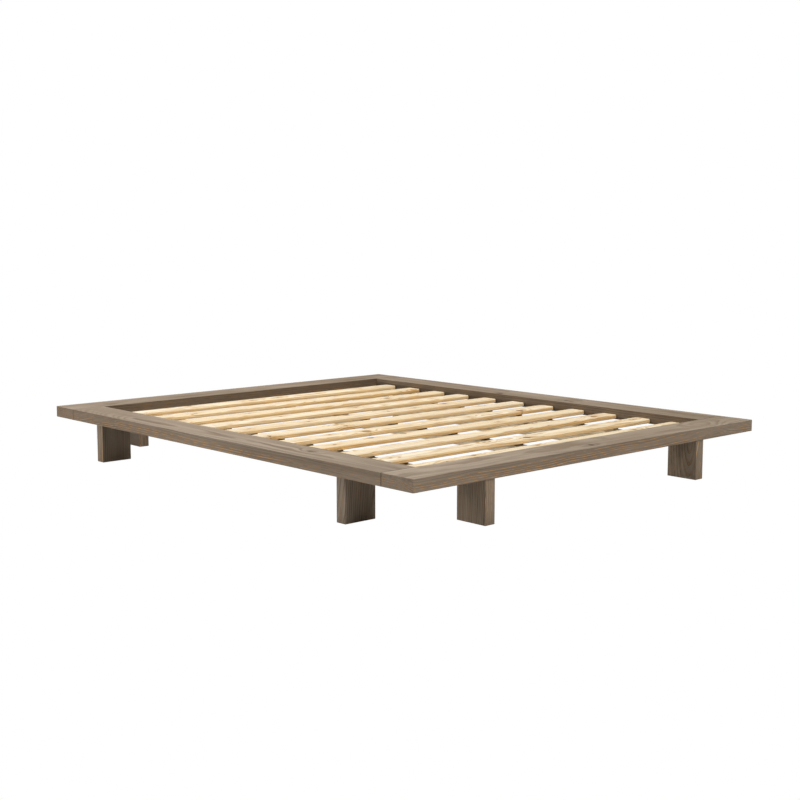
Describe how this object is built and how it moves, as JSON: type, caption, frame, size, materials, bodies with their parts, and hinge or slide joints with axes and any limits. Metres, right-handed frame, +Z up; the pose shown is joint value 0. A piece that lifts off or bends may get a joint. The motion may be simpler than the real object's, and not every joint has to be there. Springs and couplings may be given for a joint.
{
  "type": "bed frame",
  "caption": "Low pine platform bed frame: wide flat stained rails on board legs, with loose bare slats lying on lengthwise bearers below the rail tops.",
  "frame": {"origin": "on the floor under the middle of the frame", "axes": "+X to the right seen from the foot end, +Y from the foot towards the head, +Z up"},
  "size_m": [1.9, 2.304, 0.203],
  "materials": {
    "rail_wood": "grey-brown open-grain stain, satin",
    "leg_wood": "grey-brown open-grain stain, satin",
    "slat_wood": "planed bare pine, matte",
    "bearer_wood": "sawn bare pine, matte",
    "dowel_wood": "plain fluted beech, matte",
    "zinc_steel": "bright zinc plate"
  },
  "bodies": {
    "root": {"bearer_centre": "bearer_wood", "bearer_left_foot": "bearer_wood", "bearer_left_head": "bearer_wood", "bearer_right_foot": "bearer_wood", "bearer_right_head": "bearer_wood", "corner_dowel_foot_left_inner": "dowel_wood", "corner_dowel_foot_left_outer": "dowel_wood", "corner_dowel_foot_right_inner": "dowel_wood", "corner_dowel_foot_right_outer": "dowel_wood", "corner_dowel_head_left_inner": "dowel_wood", "corner_dowel_head_left_outer": "dowel_wood", "corner_dowel_head_right_inner": "dowel_wood", "corner_dowel_head_right_outer": "dowel_wood", "corner_plate_foot_left": "zinc_steel", "corner_plate_foot_right": "zinc_steel", "corner_plate_head_left": "zinc_steel", "corner_plate_head_right": "zinc_steel", "hanger_foot": "zinc_steel", "hanger_head": "zinc_steel", "leg_dowel_foot_left": "dowel_wood", "leg_dowel_foot_right": "dowel_wood", "leg_dowel_head_left": "dowel_wood", "leg_dowel_head_right": "dowel_wood", "leg_dowel_left_foot": "dowel_wood", "leg_dowel_left_head": "dowel_wood", "leg_dowel_right_foot": "dowel_wood", "leg_dowel_right_head": "dowel_wood", "leg_foot_left": "leg_wood", "leg_foot_right": "leg_wood", "leg_head_left": "leg_wood", "leg_head_right": "leg_wood", "leg_left_foot": "leg_wood", "leg_left_head": "leg_wood", "leg_right_foot": "leg_wood", "leg_right_head": "leg_wood", "leg_screw_foot_left": "zinc_steel", "leg_screw_foot_right": "zinc_steel", "leg_screw_head_left": "zinc_steel", "leg_screw_head_right": "zinc_steel", "leg_screw_left_foot": "zinc_steel", "leg_screw_left_head": "zinc_steel", "leg_screw_right_foot": "zinc_steel", "leg_screw_right_head": "zinc_steel", "rail_foot": "rail_wood", "rail_head": "rail_wood", "rail_left": "rail_wood", "rail_right": "rail_wood", "slat_01": "slat_wood", "slat_02": "slat_wood", "slat_03": "slat_wood", "slat_04": "slat_wood", "slat_05": "slat_wood", "slat_06": "slat_wood", "slat_07": "slat_wood", "slat_08": "slat_wood", "slat_09": "slat_wood", "slat_10": "slat_wood", "slat_11": "slat_wood", "splice_left": "bearer_wood", "splice_right": "bearer_wood"}
  },
  "joints": []
}
